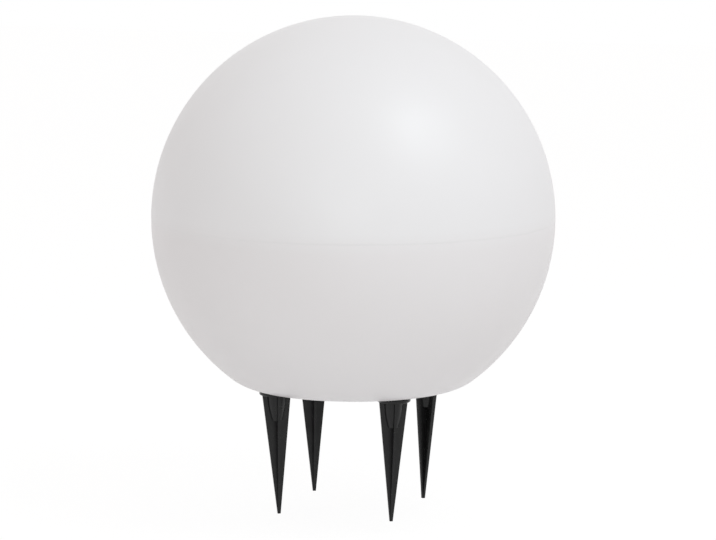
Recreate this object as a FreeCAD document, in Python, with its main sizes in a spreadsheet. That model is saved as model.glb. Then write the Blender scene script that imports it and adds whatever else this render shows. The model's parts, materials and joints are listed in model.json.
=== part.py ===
import FreeCAD, Part
import Sketcher
import math
import os
import re

# A garden globe light: a hollow white globe with a dished underside, standing on four ground spikes
# that screw into it, with a lampholder and a bulb on a cover in the base well.
# Millimetres, +Z up, origin on the globe's axis at the level of the spike tips. The four spikes
# stand at the corners of a square whose sides run along X and Y.

SIZES = {
    # globe
    "ball_rad": 200.0,
    "wall": 3.0,
    "seat_lift": 33.3,          # spike seats above the lowest point of the whole ball
    "seat_step": 0.4,           # depth of the flat seat sunk into the dished underside
    "seat_play": 0.8,           # seat radius beyond the spike flange
    "lean": 1.5,                # degrees that the underside dishes and the spikes toe in
    "edge_round": 45.0,         # blend from the ball to the underside
    "seam_rise": 0.35,
    "seam_tall": 1.6,
    "well_rad": 61.0,
    "well_deep": 26.0,
    "ledge_wide": 11.0,         # how far the ledge reaches in from the well's side
    # spike seats in the globe
    "spike_inset": 24.1,        # spike axes out from the well's side
    "boss_rad": 12.0,
    "boss_roof": 3.0,
    "insert_rad": 6.0,
    "insert_long": 14.0,
    "insert_groove": 0.5,
    # spikes
    "washer_thick": 0.8,
    "washer_rad": 15.0,
    "washer_play": 0.3,
    "spike_long": 123.6,        # flange top to tip
    "flange_rad": 16.8,
    "flange_thick": 3.2,
    "flange_round": 1.2,
    "hub_top_rad": 9.3,
    "hub_end_rad": 5.2,
    "hub_deep": 29.4,
    "rib_wide": 28.3,           # across two opposite ribs, under the flange
    "rib_tip_wide": 3.0,
    "rib_thick": 2.3,
    "stud_rad": 4.0,
    "stud_play": 0.08,
    "stud_out": 12.6,           # above the seat
    "stud_in": 16.0,            # below the flange top
    "stud_collar_rad": 5.5,
    "stud_collar_thick": 2.0,
    "stud_collar_deep": 6.0,
    "thread_pitch": 1.25,
    "thread_deep": 0.6,
    # cover, its gasket, inserts and screws
    "gasket_thick": 1.5,
    "cover_thick": 3.0,
    "cover_play": 0.5,
    "cover_round": 1.0,
    "screw_inset": 5.0,         # cover screws in from the well's side
    "screw_hole_rad": 2.3,
    "screw_rad": 1.95,
    "screw_head_rad": 3.8,
    "screw_head_tall": 2.6,
    "screw_head_flat": 3.0,
    "screw_head_side": 1.5,
    "screw_long": 11.5,
    "slot_wide": 0.5,           # half the width of a cross recess's arms
    "slot_long": 1.9,
    "slot_deep": 1.3,
    "lug_rad": 4.8,
    "lug_roof": 1.5,
    "lug_insert_rad": 3.0,
    "lug_insert_bore": 2.03,
    "lug_insert_long": 8.0,
    # cable gland
    "gland_inset": 31.0,        # gland's axis in from the well's side
    "gland_stem_rad": 8.0,
    "gland_stem_up": 12.0,
    "gland_pitch": 1.5,
    "gland_play": 0.1,
    "gland_flats": 20.0,
    "gland_hex_tall": 4.5,
    "gland_bore_rad": 5.0,
    "gland_neck_rad": 7.2,
    "gland_neck_tall": 6.3,
    "gland_pocket_rad": 6.3,
    "gland_ring_rad": 10.0,
    "gland_ring_thick": 1.0,
    "locknut_tall": 4.0,
    "seal_rad": 6.2,
    "seal_bore_rad": 3.8,
    "seal_long": 11.5,
    "dome_tall": 14.0,
    "dome_gap": 0.3,
    "dome_floor": 2.6,
    "dome_mouth_rad": 4.6,
    "dome_end_rad": 7.4,
    # bracket and nipple
    "post_rad": 5.0,
    "post_tall": 6.0,
    "post_off": 24.0,
    "pilot_rad": 1.4,
    "pilot_deep": 7.0,
    "bracket_wide": 22.0,
    "bracket_tall": 16.0,
    "strap_thick": 2.0,
    "leg_off": 17.0,
    "foot_end": 30.0,
    "tap_rad": 1.35,
    "tap_long": 8.0,
    "tap_head_rad": 3.4,
    "tap_head_tall": 2.3,
    "tap_head_flat": 2.4,
    "foot_hole_rad": 1.8,
    "nipple_rad": 4.95,
    "nipple_bore_rad": 4.0,
    "nipple_down": 6.0,
    "nipple_up": 6.0,
    "nipple_pitch": 1.0,
    "nipple_thread_deep": 0.4,
    "nipple_play": 0.05,
    "nut_flats": 14.0,
    "nut_tall": 3.0,
    # lampholder
    "holder_rad": 20.0,
    "cap_tall": 14.0,
    "cap_floor": 2.5,
    "cap_inner_rad": 16.0,
    "cap_bevel": 3.0,
    "shell_tall": 32.0,
    "shell_inner_rad": 18.0,
    "shell_lip": 2.0,
    "shell_mouth_rad": 15.0,
    "insulator_rad": 17.7,
    "insulator_thick": 5.0,
    "insulator_rim_tall": 3.0,
    "insulator_rim_wall": 2.0,
    "sleeve_thick": 0.5,
    "sleeve_tall": 23.0,
    "sleeve_play": 0.3,
    "tongue_thick": 0.8,
    "tongue_rise": 1.7,
    "tongue_wide": 5.0,
    "tongue_half": 4.0,
    "tongue_end": 10.0,
    "tongue_gap": 0.3,
    "clamp_off": 4.0,
    "clamp_size": 6.0,
    "clamp_tall": 7.0,
    "clamp_screw_rad": 1.2,
    "clamp_head_rad": 2.2,
    "clamp_head_tall": 1.6,
    # terminal block and leads
    "block_inset": 27.0,        # terminal block's middle in from the well's side
    "block_deep": 17.0,
    "block_wide": 20.0,
    "block_tall": 12.0,
    "block_pole_off": 5.0,
    "block_hole_rad": 3.2,
    "block_fix_rad": 1.5,
    "block_screw_long": 18.0,
    "tube_rad": 3.0,
    "tube_long": 15.0,
    "tube_bore_rad": 1.4,
    "tube_screw_off": 4.0,
    "tube_screw_rad": 1.3,
    "tube_screw_long": 4.6,
    "tube_screw_hole_rad": 1.9,
    "lead_rad": 1.0,
    "lead_play": 0.1,
    "lead_out": 6.5,
    "lead_side": 2.4,
    "lead_grip": 5.0,
    "lead_into_clamp": 4.0,
    # bulb
    "base_rad": 13.2,
    "base_low": 4.5,
    "base_top": 25.0,
    "base_pitch": 3.629,
    "base_groove": 1.0,
    "base_wall": 0.6,
    "tip_rad": 4.6,
    "tip_thick": 1.2,
    "tip_flat": 2.8,
    "tip_collar_low": 7.0,
    "tip_collar_top": 11.4,
    "bulb_neck_rad": 14.0,
    "bulb_neck_top": 28.0,
    "bulb_rim_rad": 28.5,
    "bulb_rim_z": 58.0,
    "bulb_wall": 2.0,
    "bulb_dome_rad": 30.0,
    "bulb_dome_z": 76.0,
    "bulb_dome_wall": 1.5,
    "board_thick": 1.6,
    "board_play": 1.0,
}

COVER_SCREWS = 4
ARC_SHARE = 0.45            # how much of its shorter run each arc of a lead takes
NEAR = 0.05                 # how close an edge lies to where it is looked for
SPIKE_ANGLES = (45.0, 135.0, 225.0, 315.0)
RIB_TURNS = (54.0, 28.0, 28.0, 28.0)    # degrees that each spike has turned when it is tight

# places and heights, as formulas of the sizes
MOUTH_RAD = "(well_rad - ledge_wide)"
SPIKE_CIRCLE = "(well_rad + spike_inset)"
SCREW_CIRCLE = "(well_rad - screw_inset)"
GLAND_X = "(gland_inset - well_rad)"
BLOCK_X = "(well_rad - block_inset)"
SINE = "sin(lean * 1 deg)"
COSINE = "cos(lean * 1 deg)"
SLOPE = "tan(lean * 1 deg)"
SEAT_DROP = "(ball_rad - seat_lift)"
BALL_Z = f"({SEAT_DROP} + (washer_thick + spike_long) * {COSINE} + rib_tip_wide / 2 * {SINE})"
APEX = f"({SPIKE_CIRCLE} * {SLOPE} - {SEAT_DROP} - seat_step)"
LEDGE = f"(well_deep - {SEAT_DROP})"
COVER_TOP = f"({BALL_Z} + {LEDGE} - gasket_thick)"
COVER_LOW = f"({COVER_TOP} - cover_thick)"
POST_TOP = f"({COVER_TOP} + post_tall)"
PLATE_TOP = f"({POST_TOP} + bracket_tall)"
INSULATOR_LOW = f"({PLATE_TOP} + cap_tall)"
INSULATOR_TOP = f"({INSULATOR_LOW} + insulator_thick)"
BULB_Z = f"({INSULATOR_TOP} + tongue_rise + tongue_gap)"

X_AXIS = FreeCAD.Vector(1, 0, 0)
Y_AXIS = FreeCAD.Vector(0, 1, 0)
Z_AXIS = FreeCAD.Vector(0, 0, 1)

os.makedirs("parts", exist_ok=True)
doc = FreeCAD.newDocument("garden_globe_light")
sheet = doc.addObject("Spreadsheet::Sheet", "Dims")
for row, (alias, size) in enumerate(SIZES.items(), start=1):
    sheet.set(f"A{row}", alias)
    sheet.set(f"B{row}", str(size))
    sheet.setAlias(f"B{row}", alias)
doc.recompute()
nodes = []


def bound(formula):
    """The formula with every size's name made a reference to its cell."""
    return re.sub(r"[a-z_]+", lambda word: f"Dims.{word[0]}" if word[0] in SIZES else word[0], formula)


def number(formula):
    value = sheet.evalExpression(bound(formula))
    return float(getattr(value, "Value", value))


def bind(thing, prop, formula):
    thing.setExpression(prop, bound(formula))


def new_body(label, z="0", x="0", y="0", turn=0.0):
    """A body at a bound place, turned about its own Z."""
    body = doc.addObject("PartDesign::Body", label)
    body.Label = label
    body.Placement.Rotation = FreeCAD.Rotation(Z_AXIS, turn)
    bind(body, "Placement.Base.x", x)
    bind(body, "Placement.Base.y", y)
    bind(body, "Placement.Base.z", z)
    nodes.append(body)
    return body


def origin_part(body, role):
    return next(part for part in body.Origin.OriginFeatures if part.Role == role)


def new_sketch(body, plane, x="0", y="0", up="0", tilt_axis=Z_AXIS, tilt="0"):
    """A sketch on one of the body's own planes, moved (x, y, up) and tilted in the plane's own axes."""
    sketch = body.newObject("Sketcher::SketchObject", "Sketch")
    sketch.AttachmentSupport = (origin_part(body, plane), [""])
    sketch.MapMode = "FlatFace"
    bind(sketch, "AttachmentOffset.Base.x", x)
    bind(sketch, "AttachmentOffset.Base.y", y)
    bind(sketch, "AttachmentOffset.Base.z", up)
    if tilt != "0":
        sketch.AttachmentOffset = FreeCAD.Placement(FreeCAD.Vector(), FreeCAD.Rotation(tilt_axis, 1))
        bind(sketch, "AttachmentOffset.Rotation.Angle", f"({tilt}) * 1 deg")
    return sketch


def pin_point(sketch, line, end, x, y):
    """Holds one end of a line at (x, y), each a formula, or None to leave it free."""
    for kind, axis, formula in (("DistanceX", -2, x), ("DistanceY", -1, y)):
        if formula == "0":
            sketch.addConstraint(Sketcher.Constraint("PointOnObject", line, end, axis))
        elif formula is not None:
            index = sketch.addConstraint(
                Sketcher.Constraint(kind, -1, 1, line, end, number(formula)))
            bind(sketch, f"Constraints[{index}]", formula)


def outline(sketch, corners):
    """A closed outline of straight sides with its corners at bound places."""
    first = sketch.GeometryCount
    places = [FreeCAD.Vector(number(x), number(y), 0) for x, y in corners]
    count = len(places)
    for i, place in enumerate(places):
        sketch.addGeometry(Part.LineSegment(place, places[(i + 1) % count]))
    for i, (x, y) in enumerate(corners):
        following = first + (i + 1) % count
        sketch.addConstraint(Sketcher.Constraint("Coincident", first + i, 2, following, 1))
        pin_point(sketch, first + i, 1, x, y)
    return sketch


def sides_to_top(sketch, arc, foot, corners, rad):
    """Straight sides from the foot of an arc, which is its start, through the corners, to the ball's
    top on the V axis and so back to the end of the sketch's first arc."""
    places = [foot] + [FreeCAD.Vector(number(x), number(y), 0) for x, y in corners]
    places.append(FreeCAD.Vector(0, number(rad), 0))
    first = sketch.GeometryCount
    for side, (here, there) in enumerate(zip(places, places[1:]), start=first):
        sketch.addGeometry(Part.LineSegment(here, there))
    sketch.addConstraint(Sketcher.Constraint("Coincident", arc, 1, first, 1))
    for side, corner in enumerate(corners, start=first):
        sketch.addConstraint(Sketcher.Constraint("Coincident", side, 2, side + 1, 1))
        pin_point(sketch, side, 2, *corner)
    last = first + len(corners)
    sketch.addConstraint(Sketcher.Constraint("Coincident", last, 2, 0, 2))


def ball_arc(sketch, rad, start):
    """The sketch's first arc, about its origin: from an angle up to the V axis."""
    radius = number(rad)
    circle = Part.Circle(FreeCAD.Vector(), Z_AXIS, radius)
    sketch.addGeometry(Part.ArcOfCircle(circle, start, math.pi / 2))
    sketch.addConstraint(Sketcher.Constraint("Coincident", 0, 3, -1, 1))
    index = sketch.addConstraint(Sketcher.Constraint("Radius", 0, radius))
    bind(sketch, f"Constraints[{index}]", rad)
    sketch.addConstraint(Sketcher.Constraint("PointOnObject", 0, 2, -2))


def half_ball_outline(sketch, rad, corners):
    """A quarter circle about the sketch's origin, then straight sides through the corners and back
    to its top along the V axis."""
    ball_arc(sketch, rad, 0)
    pin_point(sketch, 0, 1, None, "0")
    sides_to_top(sketch, 0, FreeCAD.Vector(number(rad), 0, 0), corners, rad)
    return sketch


def dished_ball_outline(sketch, rad, blend, apex, corners):
    """A ball joined by a tangent arc to an underside that slopes down from apex on the axis, then
    straight sides through the corners and back to the ball's top along the V axis."""
    along = (f"({apex} * {SINE} + sqrt(({rad} - {blend}) ^ 2 - {blend} ^ 2"
             f" - 2 * {apex} * {blend} * {COSINE} - ({apex} * {COSINE}) ^ 2))")
    foot_x = f"{along} * {COSINE}"
    centre_x = f"({along} * {COSINE} + {blend} * {SINE})"
    centre_z = f"({apex} - {along} * {SINE} + {blend} * {COSINE})"
    centre = FreeCAD.Vector(number(centre_x), number(centre_z), 0)
    meet = math.atan2(centre.y, centre.x)
    ball_arc(sketch, rad, meet)
    pin_point(sketch, 0, 1, f"{centre_x} * {rad} / ({rad} - {blend})", None)
    lowest = -math.pi / 2 - math.radians(number("lean"))
    blend_circle = Part.Circle(centre, Z_AXIS, number(blend))
    sketch.addGeometry(Part.ArcOfCircle(blend_circle, lowest, meet))
    sketch.addConstraint(Sketcher.Constraint("Coincident", 1, 2, 0, 1))
    pin_point(sketch, 1, 3, centre_x, centre_z)
    pin_point(sketch, 1, 1, foot_x, None)
    foot = FreeCAD.Vector(number(foot_x), number(f"{apex} - {along} * {SINE}"), 0)
    sides_to_top(sketch, 1, foot, corners, rad)
    return sketch


def circles(sketch, rings):
    """Circles at bound centres with bound radii, each ring (x, y, radius)."""
    for x, y, rad in rings:
        ring = sketch.addGeometry(
            Part.Circle(FreeCAD.Vector(number(x), number(y), 0), Z_AXIS, number(rad)))
        pin_point(sketch, ring, 3, x, y)
        index = sketch.addConstraint(Sketcher.Constraint("Radius", ring, number(rad)))
        bind(sketch, f"Constraints[{index}]", rad)
    return sketch


def hexagon(sketch, flats):
    """A hexagon about the sketch's origin, given across its flats."""
    corners = []
    for i in range(6):
        angle = math.radians(60 * i + 30)
        corners.append((f"{math.cos(angle):.9f} * {flats} / sqrt(3)",
                        f"{math.sin(angle):.9f} * {flats} / sqrt(3)"))
    for i in (1, 4):
        corners[i] = ("0", corners[i][1])
    return outline(sketch, corners)


def revolve(body, sketch, kind="Revolution", axis="V_Axis"):
    """Turns the sketch a full turn about one of its axes: a Revolution adds, a Groove cuts."""
    feature = body.newObject(f"PartDesign::{kind}", kind)
    feature.Profile = sketch
    feature.ReferenceAxis = (sketch, [axis])
    feature.Angle = 360
    return feature


def pad(body, sketch, length, both_ways=False):
    feature = body.newObject("PartDesign::Pad", "Pad")
    feature.Profile = sketch
    bind(feature, "Length", length)
    if both_ways:
        feature.SideType = "Symmetric"
    return feature


def pocket(body, sketch, depth, upwards=False, both_ways=False):
    """Cuts against the sketch's normal, along it, or equally to both sides."""
    feature = body.newObject("PartDesign::Pocket", "Pocket")
    feature.Profile = sketch
    feature.Reversed = upwards
    bind(feature, "Length", depth)
    if both_ways:
        feature.SideType = "Symmetric"
    return feature


def around(body, features, count):
    """Repeats features evenly about the body's Z axis."""
    pattern = body.newObject("PartDesign::PolarPattern", "PolarPattern")
    pattern.Originals = features
    pattern.Axis = (origin_part(body, "Z_Axis"), [""])
    pattern.Angle = 360
    pattern.Occurrences = count
    body.Tip = pattern
    return pattern


def round_ring(body, ring_rad, ring_height, radius):
    """Rounds the body's circular edge of this radius at this height."""
    doc.recompute()
    base = body.Tip
    names = [f"Edge{i}" for i, edge in enumerate(base.Shape.Edges, start=1)
             if not edge.Degenerated and isinstance(edge.Curve, Part.Circle)
             and abs(edge.Curve.Radius - number(ring_rad)) < NEAR
             and abs(edge.Curve.Center.z - number(ring_height)) < NEAR]
    feature = body.newObject("PartDesign::Fillet", "Fillet")
    feature.Base = (base, names)
    bind(feature, "Radius", radius)
    return feature


def turned(label, corners, **place):
    """A body made by turning an outline of (radius, height) corners about its Z axis."""
    body = new_body(label, **place)
    revolve(body, outline(new_sketch(body, "XZ_Plane"), corners))
    return body


def ringed(rad, top, low, pitch, deep):
    """Corners down the outside of a thread, drawn as rings: crests at rad, roots deeper in."""
    turns = math.ceil(number(f"({top} - ({low})) / {pitch}")) - 1
    corners = []
    for i in range(turns):
        corners.append((rad, f"{top} - {i} * {pitch}"))
        corners.append((f"{rad} - {deep}", f"{top} - {i + 0.5} * {pitch}"))
    return corners + [(rad, f"{top} - {turns} * {pitch}"), (rad, low)]


def cross(sketch, long, wide):
    """A cross about the sketch's origin: half lengths of its arms and half their width."""
    return outline(sketch, [
        (long, wide), (wide, wide), (wide, long), (f"-{wide}", long), (f"-{wide}", wide),
        (f"-{long}", wide), (f"-{long}", f"-{wide}"), (f"-{wide}", f"-{wide}"),
        (f"-{wide}", f"-{long}"), (wide, f"-{long}"), (wide, f"-{wide}"), (long, f"-{wide}")])


def rectangle(sketch, x, y, long, wide):
    """A rectangle about (x, y): its full size along the two axes."""
    return outline(sketch, [
        (f"{x} - {long} / 2", f"{y} - {wide} / 2"), (f"{x} + {long} / 2", f"{y} - {wide} / 2"),
        (f"{x} + {long} / 2", f"{y} + {wide} / 2"), (f"{x} - {long} / 2", f"{y} + {wide} / 2")])


# ---------------------------------------------------------------- the globe

def globe_shell():
    """Hollow moulding: two half balls meeting at a fine seam, dished underside, base well."""
    body = new_body("globe_shell", z=BALL_Z, turn=SPIKE_ANGLES[0])
    revolve(body, dished_ball_outline(new_sketch(body, "XZ_Plane"), "ball_rad", "edge_round", APEX,
                                      [("0", APEX)]))
    inner_apex = f"({APEX} + wall)"
    well_side = "(well_rad + wall)"
    revolve(body, dished_ball_outline(
        new_sketch(body, "XZ_Plane"), "(ball_rad - wall)", "(edge_round - wall)", inner_apex,
        [(well_side, f"{inner_apex} - {well_side} * {SLOPE}"), (well_side, f"{LEDGE} + wall"),
         ("0", f"{LEDGE} + wall")]), "Groove")
    well = circles(new_sketch(body, "XY_Plane", up=LEDGE), [("0", "0", "well_rad")])
    pocket(body, well, "well_deep + wall")
    mouth = circles(new_sketch(body, "XY_Plane", up=f"{LEDGE} + 2 * wall"), [("0", "0", MOUTH_RAD)])
    pocket(body, mouth, "3 * wall")

    revolve(body, outline(new_sketch(body, "XZ_Plane"), [
        ("ball_rad - wall / 2", "-seam_tall / 2"), ("ball_rad", "-seam_tall / 2"),
        ("ball_rad + seam_rise", "0"), ("ball_rad", "seam_tall / 2"),
        ("ball_rad - wall / 2", "seam_tall / 2")]))

    def seat_sketch(rad):
        sketch = new_sketch(body, "XY_Plane", x=SPIKE_CIRCLE, up=f"-{SEAT_DROP}",
                            tilt_axis=Y_AXIS, tilt="lean")
        return circles(sketch, [("0", "0", rad)])

    boss = pad(body, seat_sketch("boss_rad"), "insert_long + boss_roof")
    seat = pocket(body, seat_sketch("flange_rad + seat_play"), "3 * seat_step")
    bore = pocket(body, seat_sketch("insert_rad"), "insert_long", upwards=True)
    around(body, [boss, seat, bore], len(SPIKE_ANGLES))

    def lug_sketch(rad):
        return circles(new_sketch(body, "XY_Plane", up=LEDGE), [(SCREW_CIRCLE, "0", rad)])

    lug = pad(body, lug_sketch("lug_rad"), "lug_insert_long + lug_roof")
    bore = pocket(body, lug_sketch("lug_insert_rad"), "lug_insert_long", upwards=True)
    around(body, [lug, bore], COVER_SCREWS)


def insert_corners(bore, rad, long, groove):
    """A threaded insert from its mouth at height 0 up, with one groove round its middle."""
    root, low, top = f"{rad} - {groove}", f"{long} / 3", f"{long} * 2 / 3"
    return [(bore, "0"), (rad, "0"), (rad, low), (root, f"{low} + {groove}"),
            (root, f"{top} - {groove}"), (rad, top), (rad, long), (bore, long)]


def spike_inserts():
    body = new_body("spike_inserts", z=BALL_Z, turn=SPIKE_ANGLES[0])
    sketch = new_sketch(body, "XZ_Plane", x=SPIKE_CIRCLE, y=f"-{SEAT_DROP}", tilt="-lean")
    corners = insert_corners("stud_rad + stud_play", "insert_rad", "insert_long", "insert_groove")
    around(body, [revolve(body, outline(sketch, corners))], len(SPIKE_ANGLES))


def cover_inserts():
    body = new_body("cover_inserts", z=f"{BALL_Z} + {LEDGE}", turn=SPIKE_ANGLES[0])
    sketch = new_sketch(body, "XZ_Plane", x=SCREW_CIRCLE)
    corners = insert_corners("lug_insert_bore", "lug_insert_rad", "lug_insert_long", "insert_groove")
    around(body, [revolve(body, outline(sketch, corners))], COVER_SCREWS)


# ---------------------------------------------------------------- the spikes

def seated_body(label, angle):
    """A body whose origin is a spike's seat and whose Z axis is the spike's own, leaning outwards
    as it rises."""
    across = math.radians(angle)
    body = new_body(label, x=f"{SPIKE_CIRCLE} * {math.cos(across):.9f}",
                    y=f"{SPIKE_CIRCLE} * {math.sin(across):.9f}", z=f"{BALL_Z} - {SEAT_DROP}")
    sideways = FreeCAD.Vector(-math.sin(across), math.cos(across), 0)
    body.Placement.Rotation = FreeCAD.Rotation(sideways, 1)
    bind(body, "Placement.Rotation.Angle", "lean * 1 deg")
    return body


FLANGE_TOP = "(-washer_thick)"
FLANGE_LOW = "(-washer_thick - flange_thick)"
STUD_LOW = "(-washer_thick - stud_in)"
COLLAR_TOP = "(-washer_thick - stud_collar_deep)"
COLLAR_LOW = "(-washer_thick - stud_collar_deep - stud_collar_thick)"
STUD_ROOT = [("stud_rad", COLLAR_TOP), ("stud_collar_rad", COLLAR_TOP),
             ("stud_collar_rad", COLLAR_LOW), ("stud_rad", COLLAR_LOW), ("stud_rad", STUD_LOW),
             ("0", STUD_LOW)]


def hub_outline(sketch):
    """Flange and hub: the hub's side is an arc, upright under the flange and drawn in to a flat
    end."""
    hub_low = "-washer_thick - hub_deep"
    rise, draw_in = "(hub_deep - flange_thick)", "(hub_top_rad - hub_end_rad)"
    arc_rad = f"(({rise} ^ 2 + {draw_in} ^ 2) / (2 * {draw_in}))"
    radius = number(arc_rad)
    centre = FreeCAD.Vector(number("hub_top_rad") - radius, number(FLANGE_LOW), 0)
    half_turn = math.asin(number(rise) / radius)
    sketch.addGeometry(Part.ArcOfCircle(Part.Circle(centre, Z_AXIS, radius), -half_turn, 0))
    corners = [("hub_end_rad", hub_low), ("0", hub_low), ("0", FLANGE_TOP),
               ("flange_rad", FLANGE_TOP), ("flange_rad", FLANGE_LOW), ("hub_top_rad", FLANGE_LOW)]
    places = [FreeCAD.Vector(number(x), number(y), 0) for x, y in corners]
    for side, (here, there) in enumerate(zip(places, places[1:]), start=1):
        sketch.addGeometry(Part.LineSegment(here, there))
        sketch.addConstraint(Sketcher.Constraint("Coincident", side - 1, 1 if side == 1 else 2, side, 1))
        pin_point(sketch, side, 2, *corners[side])
    sketch.addConstraint(Sketcher.Constraint("Coincident", len(places) - 1, 2, 0, 2))
    pin_point(sketch, 0, 3, None, FLANGE_LOW)
    pin_point(sketch, 0, 1, None, hub_low)
    index = sketch.addConstraint(Sketcher.Constraint("Radius", 0, radius))
    bind(sketch, f"Constraints[{index}]", arc_rad)
    return sketch


def spike(label, angle, rib_turn):
    """Round flange on a hub, with four tapering ribs that run down to a blunt tip."""
    body = seated_body(label, angle)
    tip_low = "-washer_thick - spike_long"
    revolve(body, hub_outline(new_sketch(body, "XZ_Plane")))
    round_ring(body, "flange_rad", FLANGE_LOW, "flange_round")
    for quarter in (0, 90):
        sketch = new_sketch(body, "XZ_Plane", tilt_axis=Y_AXIS, tilt=f"{rib_turn + quarter}")
        inside_flange = "-washer_thick - flange_thick / 2"
        pad(body, outline(sketch, [
            ("rib_wide / 2", inside_flange), ("rib_wide / 2", FLANGE_LOW),
            ("rib_tip_wide / 2", tip_low), ("-rib_tip_wide / 2", tip_low),
            ("-rib_wide / 2", FLANGE_LOW), ("-rib_wide / 2", inside_flange)]),
            "rib_thick", both_ways=True)
    revolve(body, outline(new_sketch(body, "XZ_Plane"),
                          [("0", FLANGE_TOP), ("stud_rad", FLANGE_TOP)] + STUD_ROOT), "Groove")


def spike_stud(label, angle):
    body = seated_body(label, angle)
    thread = ringed("stud_rad", "stud_out", FLANGE_TOP, "thread_pitch", "thread_deep")
    revolve(body, outline(new_sketch(body, "XZ_Plane"), [("0", "stud_out")] + thread + STUD_ROOT))


def spike_washer(label, angle):
    body = seated_body(label, angle)
    revolve(body, outline(new_sketch(body, "XZ_Plane"), [
        ("stud_rad + washer_play", "0"), ("washer_rad", "0"), ("washer_rad", FLANGE_TOP),
        ("stud_rad + washer_play", FLANGE_TOP)]))


# ---------------------------------------------------------------- the base cover

def base_cover():
    """Disc in the base well, with two posts for the bracket and a pad for the terminal block."""
    body = new_body("base_cover", z=COVER_TOP)
    disc_rad = "well_rad - cover_play"
    pad(body, circles(new_sketch(body, "XY_Plane", up="-cover_thick"), [("0", "0", disc_rad)]),
        "cover_thick")
    round_ring(body, disc_rad, "-cover_thick", "cover_round")
    pad(body, circles(new_sketch(body, "XY_Plane"),
                      [("0", f"{side} * post_off", "post_rad") for side in (-1, 1)]), "post_tall")
    pad(body, rectangle(new_sketch(body, "XY_Plane"), BLOCK_X, "0", "block_deep", "block_wide"),
        "post_tall")
    pocket(body, circles(new_sketch(body, "XY_Plane", up="post_tall"), [
        ("0", "post_off", "pilot_rad"), ("0", "-post_off", "pilot_rad"),
        (BLOCK_X, "0", "pilot_rad")]), "pilot_deep")
    pocket(body, circles(new_sketch(body, "XY_Plane"),
                         [(GLAND_X, "0", "gland_stem_rad + gland_play")]), "cover_thick")
    pocket(body, circles(new_sketch(body, "XY_Plane"), screw_holes()), "cover_thick")


def screw_holes():
    return [(f"{x} * {SCREW_CIRCLE} * sqrt(0.5)", f"{y} * {SCREW_CIRCLE} * sqrt(0.5)", "screw_hole_rad")
            for x in (-1, 1) for y in (-1, 1)]


def cover_gasket():
    body = new_body("cover_gasket", z=COVER_TOP)
    rings = [("0", "0", "well_rad - cover_play"), ("0", "0", MOUTH_RAD)] + screw_holes()
    pad(body, circles(new_sketch(body, "XY_Plane"), rings), "gasket_thick")


def cover_screws():
    """Four pan-head screws from below, each with a cross recess."""
    body = new_body("cover_screws", z=COVER_LOW, turn=SPIKE_ANGLES[0])
    screw = revolve(body, outline(new_sketch(body, "XZ_Plane", x=SCREW_CIRCLE), [
        ("0", "-screw_head_tall"), ("screw_head_flat", "-screw_head_tall"),
        ("screw_head_rad", "-screw_head_side"), ("screw_head_rad", "0"),
        ("screw_rad", "0"), ("screw_rad", "screw_long"), ("0", "screw_long")]))
    recess = new_sketch(body, "XY_Plane", x=SCREW_CIRCLE, up="-screw_head_tall")
    cut = pocket(body, cross(recess, "slot_long", "slot_wide"), "slot_deep", upwards=True)
    around(body, [screw, cut], COVER_SCREWS)


# ---------------------------------------------------------------- the cable gland

GLAND_HEX_LOW = "(-gland_ring_thick - gland_hex_tall)"


def gland_body():
    """Hexagon against the cover, threaded stem up through it, short neck with the seal's pocket."""
    body = new_body("gland_body", x=GLAND_X, z=COVER_LOW)
    neck_low = f"{GLAND_HEX_LOW} - gland_neck_tall"
    stem = ringed("gland_stem_rad", "gland_stem_up", "-gland_ring_thick", "gland_pitch", "thread_deep")
    revolve(body, outline(new_sketch(body, "XZ_Plane"), [("gland_bore_rad", "gland_stem_up")] + stem + [
        ("gland_neck_rad", "-gland_ring_thick"), ("gland_neck_rad", neck_low),
        ("gland_pocket_rad", neck_low), ("gland_pocket_rad", GLAND_HEX_LOW),
        ("gland_bore_rad", GLAND_HEX_LOW)]))
    sketch = hexagon(new_sketch(body, "XY_Plane", up=GLAND_HEX_LOW), "gland_flats")
    pad(body, circles(sketch, [("0", "0", "gland_pocket_rad")]), "gland_hex_tall")


def gland_washer():
    turned("gland_washer", [
        ("gland_stem_rad + gland_play", "0"), ("gland_ring_rad", "0"),
        ("gland_ring_rad", "-gland_ring_thick"), ("gland_stem_rad + gland_play", "-gland_ring_thick")],
        x=GLAND_X, z=COVER_LOW)


def hex_nut(label, flats, bore, tall, **place):
    body = new_body(label, **place)
    sketch = hexagon(new_sketch(body, "XY_Plane"), flats)
    pad(body, circles(sketch, [("0", "0", bore)]), tall)


def gland_seal():
    low = f"{GLAND_HEX_LOW} - seal_long"
    turned("gland_seal", [
        ("seal_bore_rad", GLAND_HEX_LOW), ("seal_rad", GLAND_HEX_LOW), ("seal_rad", low),
        ("seal_bore_rad", low)], x=GLAND_X, z=COVER_LOW)


def gland_dome_nut():
    """Nut over the neck, hexagonal above and narrowing to its mouth below."""
    body = new_body("gland_dome_nut", x=GLAND_X, z=COVER_LOW)
    top = f"({GLAND_HEX_LOW} - dome_gap)"
    low = f"({top} - dome_tall)"
    hex_low = f"({top} - dome_tall / 2)"
    floor = f"({low} + dome_floor)"
    cavity = "gland_neck_rad + gland_play"
    revolve(body, outline(new_sketch(body, "XZ_Plane"), [
        (cavity, top), ("gland_flats / 2", top), ("gland_flats / 2", hex_low),
        ("dome_end_rad", low), ("dome_mouth_rad", low), ("dome_mouth_rad", floor),
        (cavity, floor)]))
    sketch = hexagon(new_sketch(body, "XY_Plane", up=hex_low), "gland_flats")
    pad(body, circles(sketch, [("0", "0", "gland_neck_rad + 2 * gland_play")]), "dome_tall / 2")


# ---------------------------------------------------------------- bracket and lampholder

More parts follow.
